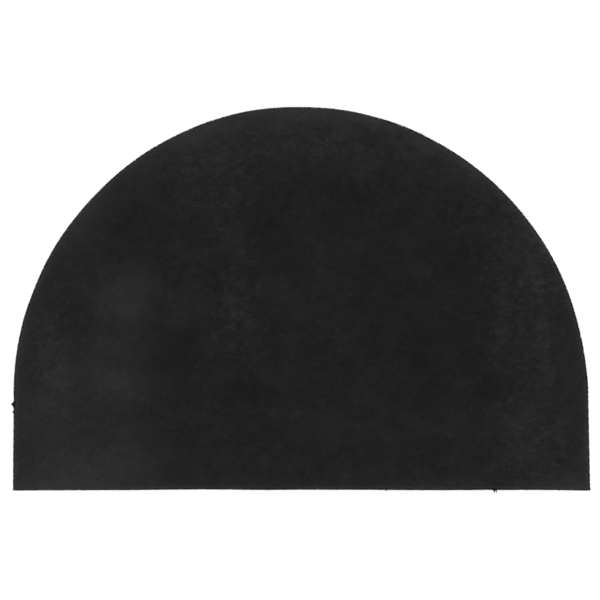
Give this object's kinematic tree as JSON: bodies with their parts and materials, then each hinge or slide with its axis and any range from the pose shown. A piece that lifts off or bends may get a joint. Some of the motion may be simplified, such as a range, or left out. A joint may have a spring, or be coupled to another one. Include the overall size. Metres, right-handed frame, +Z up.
{
  "type": "half-round coir doormat",
  "caption": "Half-round doormat of stiff near-black coir pile standing in a thin vinyl backing, with a straight lower edge and a flat underside.",
  "frame": {"origin": "on the floor, under the middle of the mat's bounding box", "axes": "+X along the straight edge, +Y from the straight edge towards the crown of the arc, +Z up from the floor through the pile"},
  "size_m": [0.75, 0.4984, 0.0155],
  "materials": {
    "coir_pile": "matte",
    "vinyl_backing": "matte"
  },
  "bodies": {
    "root": {"mat": "coir_pile"}
  },
  "joints": []
}
